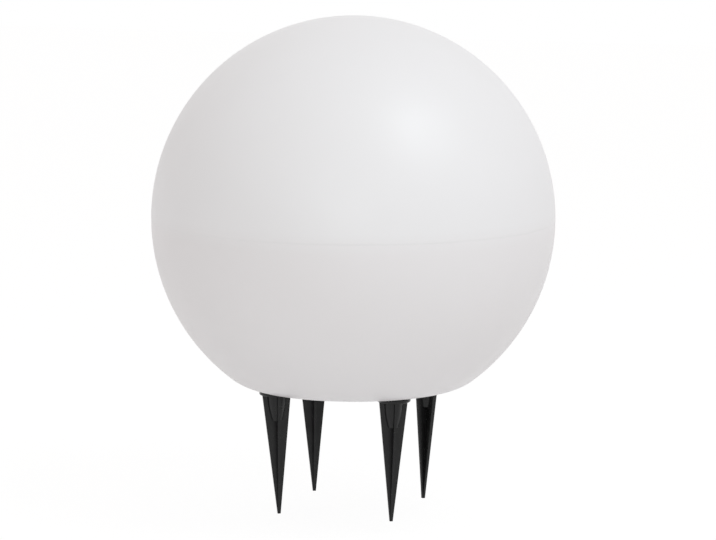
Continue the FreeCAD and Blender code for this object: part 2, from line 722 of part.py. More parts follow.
def holder_bracket():
    """Hat-shaped strap on the cover's posts: the lampholder stands on its top."""
    body = new_body("holder_bracket", z=POST_TOP)
    foot, leg, strap, top = "foot_end", "leg_off", "strap_thick", "bracket_tall"
    pad(body, outline(new_sketch(body, "YZ_Plane"), [
        (foot, "0"), (foot, strap), (leg, strap), (leg, top), (f"-{leg}", top), (f"-{leg}", strap),
        (f"-{foot}", strap), (f"-{foot}", "0"), (f"{strap} - {leg}", "0"),
        (f"{strap} - {leg}", f"{top} - {strap}"), (f"{leg} - {strap}", f"{top} - {strap}"),
        (f"{leg} - {strap}", "0")]), "bracket_wide", both_ways=True)
    pocket(body, circles(new_sketch(body, "XY_Plane", up=top),
                         [("0", "0", "nipple_rad + nipple_play")]), strap)
    pocket(body, circles(new_sketch(body, "XY_Plane", up=strap),
                         [("0", f"{side} * post_off", "foot_hole_rad") for side in (-1, 1)]), strap)


def tapping_screw_corners(long):
    """A pan-head screw with its head standing on height 0."""
    return [("0", "tap_head_tall"), ("tap_head_flat", "tap_head_tall"),
            ("tap_head_rad", "tap_head_tall / 2"), ("tap_head_rad", "0"), ("tap_rad", "0"),
            ("tap_rad", f"tap_rad - {long}"), ("0", f"-{long}")]


def bracket_screws():
    body = new_body("bracket_screws", z=f"{POST_TOP} + strap_thick")
    sketch = new_sketch(body, "YZ_Plane", x="post_off")
    screw = revolve(body, outline(sketch, tapping_screw_corners("tap_long")))
    recess = new_sketch(body, "XY_Plane", y="post_off", up="tap_head_tall")
    cut = pocket(body, cross(recess, "slot_long", "slot_wide"), "slot_deep")
    around(body, [screw, cut], 2)


def holder_nipple():
    low = "-nipple_down"
    turned("holder_nipple", [("nipple_bore_rad", "nipple_up")]
           + ringed("nipple_rad", "nipple_up", low, "nipple_pitch", "nipple_thread_deep")
           + [("nipple_bore_rad", low)], z=PLATE_TOP)


def holder_cap():
    hole = "nipple_rad + nipple_play"
    turned("holder_cap", [
        (hole, "0"), ("holder_rad - cap_bevel", "0"), ("holder_rad", "cap_bevel"),
        ("holder_rad", "cap_tall"), ("cap_inner_rad", "cap_tall"), ("cap_inner_rad", "cap_floor"),
        (hole, "cap_floor")], z=PLATE_TOP)


def holder_shell():
    lip_low = "shell_tall - shell_lip"
    turned("holder_shell", [
        ("shell_inner_rad", "0"), ("holder_rad", "0"), ("holder_rad", "shell_tall"),
        ("shell_mouth_rad", "shell_tall"), ("shell_mouth_rad", lip_low),
        ("shell_inner_rad", lip_low)], z=INSULATOR_LOW)


def holder_insulator():
    rim_top = "insulator_thick + insulator_rim_tall"
    rim_inner = "insulator_rad - insulator_rim_wall"
    turned("holder_insulator", [
        ("0", "0"), ("insulator_rad", "0"), ("insulator_rad", rim_top), (rim_inner, rim_top),
        (rim_inner, "insulator_thick"), ("0", "insulator_thick")], z=INSULATOR_LOW)


def holder_screw_sleeve():
    inner = "base_rad + sleeve_play"
    turned("holder_screw_sleeve", [
        (inner, "0"), (f"{inner} + sleeve_thick", "0"), (f"{inner} + sleeve_thick", "sleeve_tall"),
        (inner, "sleeve_tall")], z=INSULATOR_TOP)


def holder_centre_contact():
    """Bent tongue: a foot on the insulator and a raised end under the bulb's tip."""
    body = new_body("holder_centre_contact", z=INSULATOR_TOP)
    half, end, rise, thick = "tongue_half", "tongue_end", "tongue_rise", "tongue_thick"
    pad(body, outline(new_sketch(body, "XZ_Plane"), [
        (end, "0"), (end, thick), (f"{half} + {thick}", thick), (f"{half} + {thick}", rise),
        (f"-{half}", rise), (f"-{half}", f"{rise} - {thick}"), (half, f"{rise} - {thick}"),
        (half, "0")]), "tongue_wide", both_ways=True)


CLAMP_SCREW_Z = "lead_into_clamp / 2 - clamp_tall"


def holder_terminals():
    """Two clamp blocks under the insulator, each with a lead's hole and a screw's."""
    body = new_body("holder_terminals", z=INSULATOR_LOW)
    low = "-clamp_tall"
    block = pad(body, rectangle(new_sketch(body, "XY_Plane", up=low), "0", "clamp_off",
                                "clamp_size", "clamp_size"), "clamp_tall")
    lead_hole = pocket(body, circles(new_sketch(body, "XY_Plane", up=low),
                                     [("0", "lead_side", "lead_rad + lead_play")]),
                       "lead_into_clamp + lead_play", upwards=True)
    screw_hole = pocket(body, circles(new_sketch(body, "XZ_Plane"),
                                      [("0", CLAMP_SCREW_Z, "clamp_screw_rad")]),
                        "2 * (clamp_off + clamp_size)", both_ways=True)
    around(body, [block, lead_hole, screw_hole], 2)


def terminal_screws():
    body = new_body("terminal_screws", z=INSULATOR_LOW)
    start = "lead_side + lead_rad"
    face = "clamp_off + clamp_size / 2"
    sketch = new_sketch(body, "YZ_Plane", y=CLAMP_SCREW_Z)
    screw = revolve(body, outline(sketch, [
        (start, "0"), (start, "clamp_screw_rad"), (face, "clamp_screw_rad"),
        (face, "clamp_head_rad"), (f"{face} + clamp_head_tall", "clamp_head_rad"),
        (f"{face} + clamp_head_tall", "0")]), axis="H_Axis")
    around(body, [screw], 2)


# ---------------------------------------------------------------- terminal block and leads

BLOCK_MID = "block_tall / 2"


def block_poles(rad):
    return [(f"{side} * block_pole_off", BLOCK_MID, rad) for side in (-1, 1)]


def block_clamps(rad):
    return [(f"{x} * tube_screw_off", f"{y} * block_pole_off", rad) for x in (-1, 1) for y in (-1, 1)]


def block_body():
    body = new_body("block_body", x=BLOCK_X, z=POST_TOP)
    pad(body, rectangle(new_sketch(body, "XY_Plane"), "0", "0", "block_deep", "block_wide"),
        "block_tall")
    pocket(body, circles(new_sketch(body, "YZ_Plane"), block_poles("block_hole_rad")),
           "block_deep", both_ways=True)
    top = new_sketch(body, "XY_Plane", up="block_tall")
    pocket(body, circles(top, block_clamps("tube_screw_hole_rad")), BLOCK_MID)
    top = new_sketch(body, "XY_Plane", up="block_tall")
    pocket(body, circles(top, [("0", "0", "block_fix_rad")]), "block_tall")


def block_tubes():
    body = new_body("block_tubes", x=BLOCK_X, z=POST_TOP)
    pad(body, circles(new_sketch(body, "YZ_Plane"), block_poles("tube_rad")), "tube_long",
        both_ways=True)
    pocket(body, circles(new_sketch(body, "YZ_Plane"), block_poles("tube_bore_rad")), "tube_long",
           both_ways=True)
    pocket(body, circles(new_sketch(body, "XY_Plane", up="block_tall"),
                         block_clamps("tube_screw_rad")), BLOCK_MID)


def block_clamp_screws():
    body = new_body("block_clamp_screws", x=BLOCK_X, z=POST_TOP)
    sketch = new_sketch(body, "XY_Plane", up=f"{BLOCK_MID} + lead_rad")
    pad(body, circles(sketch, block_clamps("tube_screw_rad")), "tube_screw_long")


def block_screw():
    body = turned("block_screw", tapping_screw_corners("block_screw_long"),
                  x=BLOCK_X, z=f"{POST_TOP} + block_tall")
    recess = new_sketch(body, "XY_Plane", up="tap_head_tall")
    pocket(body, cross(recess, "slot_long", "slot_wide"), "slot_deep")


def rounded_path(points):
    """Straight runs joined by tangent arcs, each as large as its two runs allow."""
    edges = []
    here = points[0]
    for before, corner, after in zip(points, points[1:], points[2:]):
        back = (before - corner).normalize()
        ahead = (after - corner).normalize()
        half_turn = (math.pi - back.getAngle(ahead)) / 2
        reach = ARC_SHARE * min((before - corner).Length, (after - corner).Length)
        radius = reach / math.tan(half_turn)
        print(f"  lead arc radius {radius:.1f}")
        start = corner + back * reach
        end = corner + ahead * reach
        inward = (back + ahead).normalize()
        middle = corner + inward * (radius / math.cos(half_turn) - radius)
        edges.append(Part.LineSegment(here, start).toShape())
        edges.append(Part.Arc(start, middle, end).toShape())
        here = end
    edges.append(Part.LineSegment(here, points[-1]).toShape())
    return Part.Wire(edges)


def inner_lead(label, side):
    """One lead: out of a tube of the terminal block, along, and up through the nipple."""
    def place(x, y, z):
        return FreeCAD.Vector(number(x), side * number(y), number(z))

    run_z = f"{POST_TOP} + {BLOCK_MID}"
    points = [place(f"{BLOCK_X} - tube_long / 2 + lead_grip", "block_pole_off", run_z),
              place(f"{BLOCK_X} - tube_long / 2 - lead_out", "block_pole_off", run_z),
              place("0", "lead_side", run_z),
              place("0", "lead_side", f"{INSULATOR_LOW} - clamp_tall + lead_into_clamp")]
    path = rounded_path(points)
    section = Part.Wire(Part.Circle(points[0], X_AXIS, number("lead_rad")).toShape())
    lead = doc.addObject("Part::Feature", label)
    lead.Label = label
    lead.Shape = path.makePipeShell([section], True, True)
    lead.Placement = FreeCAD.Placement()
    expected = math.pi * number("lead_rad") ** 2 * path.Length
    print(f"  {label} volume {lead.Shape.Volume:.1f}, section times length {expected:.1f}")
    nodes.append(lead)


# ---------------------------------------------------------------- the bulb

def bulb_tip_contact():
    turned("bulb_tip_contact", [
        ("0", "0"), ("tip_flat", "0"), ("tip_rad", "tip_thick / 2"), ("tip_rad", "tip_thick"),
        ("0", "tip_thick")], z=BULB_Z)


def bulb_tip_insulator():
    turned("bulb_tip_insulator", [
        ("0", "tip_thick"), ("tip_collar_low", "tip_thick"), ("tip_collar_top", "base_low"),
        ("0", "base_low")], z=BULB_Z)


def bulb_screw_shell():
    inner = "base_rad - base_groove - base_wall"
    turned("bulb_screw_shell", [(inner, "base_top")]
           + ringed("base_rad", "base_top", "base_low", "base_pitch", "base_groove")
           + [(inner, "base_low")], z=BULB_Z)


def bulb_housing():
    inner_neck = "bulb_neck_rad - bulb_wall"
    turned("bulb_housing", [
        (inner_neck, "base_top"), ("bulb_neck_rad", "base_top"), ("bulb_neck_rad", "bulb_neck_top"),
        ("bulb_rim_rad", "bulb_rim_z"), ("bulb_rim_rad - bulb_wall", "bulb_rim_z"),
        (inner_neck, "bulb_neck_top")], z=BULB_Z)


def bulb_led_board():
    rad = "bulb_rim_rad - board_play"
    top = "bulb_rim_z + board_thick"
    turned("bulb_led_board", [("0", "bulb_rim_z"), (rad, "bulb_rim_z"), (rad, top), ("0", top)],
           z=BULB_Z)


def bulb_diffuser():
    """Half ball on a short cone, open below."""
    body = new_body("bulb_diffuser", z=f"{BULB_Z} + bulb_dome_z")
    low = "bulb_rim_z + board_thick - bulb_dome_z"
    revolve(body, half_ball_outline(new_sketch(body, "XZ_Plane"), "bulb_dome_rad",
                                    [("bulb_rim_rad", low), ("0", low)]))
    revolve(body, half_ball_outline(new_sketch(body, "XZ_Plane"), "(bulb_dome_rad - bulb_dome_wall)",
                                    [("bulb_rim_rad - bulb_dome_wall", low), ("0", low)]), "Groove")


# ---------------------------------------------------------------- the whole light

def build():
    globe_shell()
    spike_inserts()
    cover_inserts()
    for i, (angle, rib_turn) in enumerate(zip(SPIKE_ANGLES, RIB_TURNS), start=1):
        spike(f"spike_{i}", angle, rib_turn)
        spike_stud(f"spike_stud_{i}", angle)
        spike_washer(f"spike_washer_{i}", angle)
    base_cover()
    cover_gasket()
    cover_screws()
    gland_body()
    gland_washer()
    hex_nut("gland_locknut", "gland_flats", "gland_stem_rad + gland_play", "locknut_tall",
            x=GLAND_X, z=COVER_TOP)
    gland_seal()
    gland_dome_nut()
    holder_bracket()
    bracket_screws()
    holder_nipple()
    hex_nut("nipple_nut", "nut_flats", "nipple_rad + nipple_play", "nut_tall",
            z=f"{PLATE_TOP} - strap_thick - nut_tall")
    holder_cap()
    holder_shell()
    holder_insulator()
    holder_screw_sleeve()
    holder_centre_contact()
    holder_terminals()
    terminal_screws()
    block_body()
    block_tubes()
    block_clamp_screws()
    block_screw()
    inner_lead("lead_line", 1)
    inner_lead("lead_neutral", -1)
    bulb_tip_contact()
    bulb_tip_insulator()
    bulb_screw_shell()
    bulb_housing()
    bulb_led_board()
    bulb_diffuser()


def write_parts():
    """Checks every object and every node's shape, then writes each node's file."""
    doc.recompute()
    faults = [f"{thing.Label}: {thing.State}" for thing in doc.Objects
              if "Invalid" in thing.State or "Error" in thing.State]
    faults += [f"{node.Label}: bad shape" for node in nodes
               if node.Shape.isNull() or not node.Shape.isValid() or not node.Shape.Solids]
    if faults:
        raise RuntimeError("; ".join(faults))
    for node in nodes:
        node.Shape.exportStep(f"parts/{node.Label}.step")
        print(f"{node.Label}: {len(node.Shape.Solids)} solids, {node.Shape.Volume:.0f} mm3")


build()
write_parts()
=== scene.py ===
import json
import math
import bmesh
import bpy
from mathutils import Matrix, Quaternion, Vector


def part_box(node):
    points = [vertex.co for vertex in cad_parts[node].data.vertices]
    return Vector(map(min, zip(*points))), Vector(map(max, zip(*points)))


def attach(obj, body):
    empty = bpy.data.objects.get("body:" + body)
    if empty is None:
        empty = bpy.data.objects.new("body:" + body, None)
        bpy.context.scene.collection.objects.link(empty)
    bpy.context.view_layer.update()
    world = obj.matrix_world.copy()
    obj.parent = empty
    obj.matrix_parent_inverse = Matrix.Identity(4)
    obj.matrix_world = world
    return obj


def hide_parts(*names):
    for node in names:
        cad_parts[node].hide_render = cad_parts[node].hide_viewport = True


# The looks of a garden globe light: a white moulded globe on four black ground spikes.
# Metres, +Z up, origin on the globe's axis at the level of the spike tips.

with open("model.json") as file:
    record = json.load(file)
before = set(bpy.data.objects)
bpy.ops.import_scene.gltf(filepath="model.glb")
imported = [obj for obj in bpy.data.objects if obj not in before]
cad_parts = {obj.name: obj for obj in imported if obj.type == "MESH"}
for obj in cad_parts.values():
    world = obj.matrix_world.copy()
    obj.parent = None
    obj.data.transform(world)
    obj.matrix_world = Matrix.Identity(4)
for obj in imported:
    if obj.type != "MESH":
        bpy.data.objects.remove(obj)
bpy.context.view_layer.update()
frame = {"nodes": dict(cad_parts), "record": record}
scene = bpy.context.scene
record = frame["record"]
body_of_node = {node: body for body, nodes in record["behaviour"]["bodies"].items() for node in nodes}
slot_of_node = {part["node"]: part["material_slot"] for part in record["subparts"]}
joints = {joint["name"]: joint for joint in record["behaviour"]["joints"]}

MM = 0.001

# ---------------------------------------------------------------- driving dimensions

BALL_RAD = 200.0 * MM
WALL = 3.0 * MM
BALL_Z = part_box("globe_shell")[1][2] - BALL_RAD
BALL_CENTRE = Vector((0.0, 0.0, BALL_Z))
SEAT_DROP = 166.7 * MM              # globe centre down to the spike seats
SEAT_STEP = 0.4 * MM
SEAT_RAD = 17.6 * MM
SEAT_CUT = 3 * SEAT_STEP            # length of the cutters that make the seats
SPIKE_CIRCLE = 85.1 * MM
LEAN = math.radians(1.5)
EDGE_ROUND = 45.0 * MM              # blend from the ball to the underside
WELL_RAD = 61.0 * MM
WELL_DEEP = 26.0 * MM
MOUTH_RAD = 50.0 * MM
WELL_LIP = 1.2 * MM                 # rounding at the well's outer edge
BOSS_RAD = 12.0 * MM
BOSS_TALL = 17.0 * MM
BORE_RAD = 6.0 * MM
BORE_DEEP = 14.0 * MM
LUG_CIRCLE = 56.0 * MM
LUG_RAD = 4.8 * MM
LUG_TALL = 9.5 * MM
LUG_BORE_RAD = 3.0 * MM
LUG_BORE_DEEP = 8.0 * MM
SPIKES = 4
SEAM_PROUD = 0.05 * MM              # the upper half's edge over the true ball
SEAM_TUCK = 0.07 * MM               # the lower half's edge inside the true ball
SEAM_TALL = 0.3 * MM
SEAM_FADE = 14.0 * MM               # height over which either edge runs out
SEAM_STEPS = 12                     # steps along either edge
SEAM_PAINTED_SHADE_BLEND = 10.0 * MM              # half the height over which the two halves' tones meet, the upper's painted light going into the lower's painted shade
GLOBE_TURNS = 224                   # steps round the globe
FINE_TURNS = 48                     # steps round its bosses, lugs and bores
ARC_STEP = math.radians(1.6)        # largest step along the arcs of its outline
SMOOTH_ANGLE = math.radians(40.0)   # sharper edges of the globe stay sharp

# finish of the CAD pieces
ROUNDING = 0.2 * MM                 # width of the rounding on a node's edges, apart from these
ROUNDINGS = {"base_cover": 0.4 * MM, "holder_centre_contact": 0.1 * MM, "gland_dome_nut": 0.35 * MM,
             "gland_body": 0.25 * MM, "holder_cap": 0.4 * MM, "holder_shell": 0.4 * MM,
             "bulb_tip_contact": 0.15 * MM, "bulb_led_board": 0.15 * MM}
SPIKE_ROUNDING = 0.35 * MM
ROUNDINGS.update({f"spike_{i}": SPIKE_ROUNDING for i in range(1, SPIKES + 1)})
ROUNDING_STEPS = 3
BEVEL_ANGLE = math.radians(35.0)    # edges sharper than this are rounded
FLAT_ANGLE = math.radians(0.5)      # faces within this are one flat
WELD = 1e-6                         # vertices within this are one

# the globe's look
# the upper half's tones are lighter and cooler and the lower half's darker and warmer: partly a tone
# step between the two moulded halves, partly painted light above the seam and painted shade below it
UPPER_TONES_WITH_PAINTED_LIGHT = ((0.866, 0.867, 0.873), (0.857, 0.858, 0.863))
LOWER_TONES_WITH_PAINTED_SHADE = ((0.844, 0.833, 0.837), (0.837, 0.827, 0.830))
GLOBE_MOTTLE = 90.0 * MM
GLOBE_ROUGH = (0.36, 0.44)
GLOBE_GLOSS_PATCH = 30.0 * MM
GLOBE_WAVES = 6.0 * MM
GLOBE_WAVES_DEEP = 0.04 * MM
GLOBE_GRAIN = 1.2 * MM
GLOBE_GRAIN_DEEP = 0.02 * MM

# the spikes' look
SPIKE_TONES = ((0.0065, 0.0065, 0.0068), (0.012, 0.012, 0.012))
SPIKE_SCUFFS = 4.0 * MM
SPIKE_STREAK = (1.0, 1.0, 0.25)     # draws the scuffs out along the spike
SPIKE_ROUGH = (0.26, 0.38)
SPIKE_GLOSS_PATCH = 12.0 * MM
SPIKE_FLOW = 10.0 * MM
SPIKE_FLOW_DEEP = 0.05 * MM
SPIKE_GRAIN = 0.7 * MM
SPIKE_GRAIN_DEEP = 0.02 * MM

# what the other plastics share, and what the metals share
PLASTIC_PATCH = 20.0 * MM
PLASTIC_UNEVEN = 0.04               # how far the roughness strays either way
PLASTIC_GLOSS_FINER = 3             # patches of gloss are this much smaller than those of tone
PLASTIC_GRAIN = 0.8 * MM
PLASTIC_DEEP = 0.02 * MM
METAL_PATCH = 6.0 * MM
METAL_SMOOTHER = 0.06               # how far the roughness strays down
METAL_DULLER = 0.08                 # and up
METAL_GRAIN = 1.5 * MM
METAL_STREAK = (1.0, 1.0, 14.0)
METAL_DEEP = 0.01 * MM

# the photograph's camera: its place as seen from the globe's centre, its aim and its lens
CAMERA_TURN = math.radians(16.9)    # round to the right of the front
CAMERA_RISE = math.radians(7.37)
CAMERA_FAR = 3.497
CAMERA_PITCH = math.radians(8.22)   # aims this much down
CAMERA_YAW = math.radians(0.081)    # and this much to the right of the globe's centre
CAMERA_ROLL = math.radians(0.3)     # turned anticlockwise, as the camera sees it
CAMERA_LENS = 177.4                 # millimetres, as the sensor's width
CAMERA_SENSOR = 36.0

# lamps: a side is how far right, up and towards the camera, as the camera sees the globe
KEY_SIDE = (0.50, 0.71, 0.50)
KEY_POWER = 13.7
KEY_COLOUR = (0.88, 0.955, 1.0)
FILL_SIDE = (-0.10, 0.10, 1.00)
FILL_POWER = 4.5
FILL_COLOUR = (0.90, 1.0, 1.0)
LAMP_FAR = 2.3
LAMP_SIZE = 1.1
AMBIENT = 0.67
AMBIENT_COLOUR = (1.0, 0.953, 0.944)

FLOOR_HALF = 6.0
FLOOR_Z = joints["spike_1_travel"]["range_m"][0]    # as low as the tips of unscrewed spikes
FLOOR_TONES = ((0.89, 0.89, 0.89), (0.91, 0.91, 0.91))
FLOOR_PATCH = 0.5
FLOOR_GLOW = 0.88                   # share of plain white in the floor as the camera sees it
FLOOR_WHITE = 1.05                  # strength of that white


# ---------------------------------------------------------------- materials

class Shader:
    """A material's nodes, made and joined one at a time."""

    def __init__(self, name):
        self.material = bpy.data.materials.new(name)
        self.material.use_nodes = True
        self.tree = self.material.node_tree
        self.surface = self.tree.nodes["Principled BSDF"]
        self.place = self.add("ShaderNodeTexCoord").outputs["Object"]

    def add(self, kind, **values):
        """A new node with these properties."""
        node = self.tree.nodes.new(kind)
        for name, value in values.items():
            setattr(node, name, value)
        return node

    def join(self, output, socket):
        """Links one node's output to another's socket."""
        self.tree.links.new(output, socket)

    def set(self, **values):
        """Sets the surface's own sockets, named with _ for a space."""
        for name, value in values.items():
            self.surface.inputs[name.replace("_", " ")].default_value = value

    def noise(self, size, detail=3.0, stretch=(1.0, 1.0, 1.0), rough=0.5):
        """A noise whose features are about this size, in metres."""
        mapping = self.add("ShaderNodeMapping")
        mapping.inputs["Scale"].default_value = stretch
        self.join(self.place, mapping.inputs["Vector"])
        texture = self.add("ShaderNodeTexNoise")
        texture.inputs["Scale"].default_value = 1.0 / size
        texture.inputs["Detail"].default_value = detail
        texture.inputs["Roughness"].default_value = rough
        self.join(mapping.outputs["Vector"], texture.inputs["Vector"])
        return texture.outputs["Fac"]

    def spread(self, value, low, high, low_in=0.3, high_in=0.7):
        """The value's middle stretch as a number from low to high."""
        ranged = self.add("ShaderNodeMapRange")
        ranged.inputs["From Min"].default_value = low_in
        ranged.inputs["From Max"].default_value = high_in
        ranged.inputs["To Min"].default_value = low
        ranged.inputs["To Max"].default_value = high
        self.join(value, ranged.inputs["Value"])
        return ranged.outputs["Result"]

    def blend(self, share, one, other):
        """A colour from one to the other."""
        mix = self.add("ShaderNodeMix", data_type="RGBA")
        self.join(share, mix.inputs["Factor"])
        for colour, socket in ((one, mix.inputs["A"]), (other, mix.inputs["B"])):
            if isinstance(colour, tuple):
                socket.default_value = (*colour, 1.0)
            else:
                self.join(colour, socket)
        return mix.outputs["Result"]

    def bump(self, height, distance, under=None):
        """A relief of this depth, in metres, laid over another bump if there is one under it."""
        node = self.add("ShaderNodeBump")
        node.inputs["Distance"].default_value = distance
        self.join(height, node.inputs["Height"])
        if under:
            self.join(under, node.inputs["Normal"])
        self.join(node.outputs["Normal"], self.surface.inputs["Normal"])
        return node.outputs["Normal"]

    def axis(self, name):
        """One coordinate of the place on the piece."""
        split = self.add("ShaderNodeSeparateXYZ")
        self.join(self.place, split.inputs["Vector"])
        return split.outputs[name]


def plastic(name, colour, other, rough, patch=PLASTIC_PATCH, deep=PLASTIC_DEEP, **values):
    """A moulded plastic: two close tones in patches, uneven gloss and a fine grain."""
    shader = Shader(name)
    patches = shader.noise(patch)
    shader.join(shader.blend(shader.spread(patches, 0.0, 1.0), colour, other),
                shader.surface.inputs["Base Color"])
    gloss = shader.spread(shader.noise(patch / PLASTIC_GLOSS_FINER),
                          rough - PLASTIC_UNEVEN, rough + PLASTIC_UNEVEN)
    shader.join(gloss, shader.surface.inputs["Roughness"])
    shader.bump(shader.noise(PLASTIC_GRAIN), deep)
    shader.set(**values)
    return shader.material


def metal(name, colour, other, rough):
    """A metal with fine marks along one way and patches of duller tone."""
    shader = Shader(name)
    patches = shader.noise(METAL_PATCH)
    shader.join(shader.blend(shader.spread(patches, 0.0, 1.0), colour, other),
                shader.surface.inputs["Base Color"])
    marks = shader.noise(METAL_GRAIN, stretch=METAL_STREAK)
    gloss = shader.spread(marks, rough - METAL_SMOOTHER, rough + METAL_DULLER)
    shader.join(gloss, shader.surface.inputs["Roughness"])
    shader.bump(marks, METAL_DEEP)
    shader.set(Metallic=1.0)
    return shader.material


def white_polyethylene():
    """The globe: satin white with a faint mottle, lighter and cooler above the seam and darker and
    warmer below it, partly a tone step between the moulded halves and partly painted light and painted
    shade.
    """
    shader = Shader("white_polyethylene")
    mottle = shader.spread(shader.noise(GLOBE_MOTTLE), 0.0, 1.0)
    upper = shader.blend(mottle, *UPPER_TONES_WITH_PAINTED_LIGHT)
    lower = shader.blend(mottle, *LOWER_TONES_WITH_PAINTED_SHADE)
    height = shader.axis("Z")
    # painted light and shade: the base colour blends across the seam from the upper half's lighter,
    # cooler tone to the lower half's darker, warmer one
    share = shader.spread(height, 1.0, 0.0, BALL_Z - SEAM_PAINTED_SHADE_BLEND, BALL_Z + SEAM_PAINTED_SHADE_BLEND)
    shader.join(shader.blend(share, upper, lower), shader.surface.inputs["Base Color"])
    gloss = shader.spread(shader.noise(GLOBE_GLOSS_PATCH), *GLOBE_ROUGH)
    shader.join(gloss, shader.surface.inputs["Roughness"])
    waves = shader.bump(shader.noise(GLOBE_WAVES, detail=2.0), GLOBE_WAVES_DEEP)
    shader.bump(shader.noise(GLOBE_GRAIN), GLOBE_GRAIN_DEEP, under=waves)
    shader.set(Specular_IOR_Level=0.45)
    return shader.material


def black_polypropylene():
    """The spikes: black, satin, a little scuffed and dusty in patches."""
    shader = Shader("black_polypropylene")
    scuffs = shader.noise(SPIKE_SCUFFS, detail=6.0, stretch=SPIKE_STREAK, rough=0.65)
    tone = shader.blend(shader.spread(scuffs, 0.0, 1.0, 0.45, 0.75), *SPIKE_TONES)
    shader.join(tone, shader.surface.inputs["Base Color"])
    gloss = shader.spread(shader.noise(SPIKE_GLOSS_PATCH), *SPIKE_ROUGH)
    shader.join(gloss, shader.surface.inputs["Roughness"])
    shader.set(Specular_IOR_Level=0.31)
    flow = shader.bump(shader.noise(SPIKE_FLOW, detail=2.0), SPIKE_FLOW_DEEP)
    shader.bump(shader.noise(SPIKE_GRAIN), SPIKE_GRAIN_DEEP, under=flow)
    return shader.material


PLASTICS = {
    "opal_diffuser": dict(
        colour=(0.84, 0.84, 0.83), other=(0.80, 0.80, 0.79), rough=0.35,
        Subsurface_Weight=0.1, Subsurface_Radius=(4.0 * MM, 4.0 * MM, 4.0 * MM)),
    "black_abs": dict(
        colour=(0.016, 0.016, 0.017), other=(0.024, 0.024, 0.024), rough=0.5, deep=0.06 * MM),
    "black_nylon": dict(
        colour=(0.018, 0.018, 0.018), other=(0.026, 0.026, 0.027), rough=0.42, patch=8.0 * MM),
    "black_rubber": dict(
        colour=(0.012, 0.012, 0.012), other=(0.020, 0.020, 0.020), rough=0.75, patch=6.0 * MM,
        deep=0.04 * MM),
    "black_phenolic": dict(
        colour=(0.014, 0.012, 0.011), other=(0.02, 0.018, 0.016), rough=0.28, Coat_Weight=0.3),
    "white_ceramic": dict(
        colour=(0.80, 0.79, 0.76), other=(0.76, 0.75, 0.72), rough=0.2, Coat_Weight=0.6),
    "clear_nylon": dict(
        colour=(0.74, 0.72, 0.65), other=(0.70, 0.68, 0.60), rough=0.38,
        Subsurface_Weight=0.15, Subsurface_Radius=(2.0 * MM, 2.0 * MM, 2.0 * MM)),
    "brown_wire": dict(
        colour=(0.16, 0.06, 0.025), other=(0.12, 0.045, 0.02), rough=0.4, patch=4.0 * MM),
    "blue_wire": dict(
        colour=(0.03, 0.10, 0.35), other=(0.025, 0.08, 0.28), rough=0.4, patch=4.0 * MM),
    "black_glass": dict(
        colour=(0.010, 0.010, 0.011), other=(0.014, 0.014, 0.015), rough=0.12),
    "white_bulb_housing": dict(
        colour=(0.80, 0.80, 0.79), other=(0.77, 0.77, 0.76), rough=0.3),
    "led_board": dict(
        colour=(0.78, 0.79, 0.78), other=(0.70, 0.72, 0.70), rough=0.35, patch=5.0 * MM),
}
METALS = {
    "brass_insert": dict(colour=(0.62, 0.45, 0.18), other=(0.52, 0.37, 0.15), rough=0.28),
    "zinc_steel": dict(colour=(0.60, 0.61, 0.62), other=(0.50, 0.51, 0.53), rough=0.32),
    "nickel_brass": dict(colour=(0.68, 0.66, 0.61), other=(0.60, 0.58, 0.54), rough=0.22),
}
materials = {"white_polyethylene": white_polyethylene(), "black_polypropylene": black_polypropylene()}
materials.update({name: plastic(name, **looks) for name, looks in PLASTICS.items()})
materials.update({name: metal(name, **looks) for name, looks in METALS.items()})


# ---------------------------------------------------------------- pieces

def new_piece(name, mesh, slot):
    """An object of this mesh in the slot's material."""
    piece = bpy.data.objects.new(name, mesh)
    scene.collection.objects.link(piece)
    mesh.materials.clear()
    mesh.materials.append(materials[slot])
    return piece


def revolved(name, outline, turns):
    """A closed mesh turned from an outline of (radius, height) points with both ends on the axis."""
    shape = bmesh.new()
    rings = []
    for radius, height in outline:
        count = turns if radius > 0.0 else 1
        rings.append([shape.verts.new((radius * math.cos(2 * math.pi * i / turns),
                                       radius * math.sin(2 * math.pi * i / turns), height))
                      for i in range(count)])
    for ring, following in zip(rings, rings[1:]):
        for i in range(turns):
            j = (i + 1) % turns
            corners = [ring[i % len(ring)], following[i % len(following)],
                       following[j % len(following)], ring[j % len(ring)]]
            shape.faces.new(list(dict.fromkeys(corners)))
    bmesh.ops.recalc_face_normals(shape, faces=shape.faces)
    mesh = bpy.data.meshes.new(name)
    shape.to_mesh(mesh)
    shape.free()
    return mesh


def arc(centre_r, centre_z, radius, start, end):
    """Points along an arc of the outline, both ends included."""
    steps = max(2, math.ceil(abs(end - start) / ARC_STEP))
    angles = [start + (end - start) * i / steps for i in range(steps + 1)]
    return [(centre_r + radius * math.cos(angle), centre_z + radius * math.sin(angle))
            for angle in angles]


def dish(rad, blend, apex):
    """Centre of the blend between a ball and an underside that falls away from apex on the axis, and
    the angle at which it meets the ball. Along is the blend's end, from apex down the underside."""
    off_axis = blend + apex * math.cos(LEAN)
    along = apex * math.sin(LEAN) + math.sqrt((rad - blend) ** 2 - off_axis ** 2)
    centre_r = along * math.cos(LEAN) + blend * math.sin(LEAN)
    centre_z = apex - along * math.sin(LEAN) + blend * math.cos(LEAN)
    return centre_r, centre_z, math.atan2(centre_z, centre_r)


def seam_edge(start, end, offset):
    """The ball's outline between two heights, standing off the true ball by an offset that fades
    with distance from the seam."""
    points = []
    for i in range(SEAM_STEPS + 1):
        height = start + (end - start) * (i / SEAM_STEPS)
        off = offset * (1.0 - min(abs(height) / SEAM_FADE, 1.0)) ** 2
        points.append((math.sqrt(BALL_RAD ** 2 - height ** 2) + off, height))
    return points


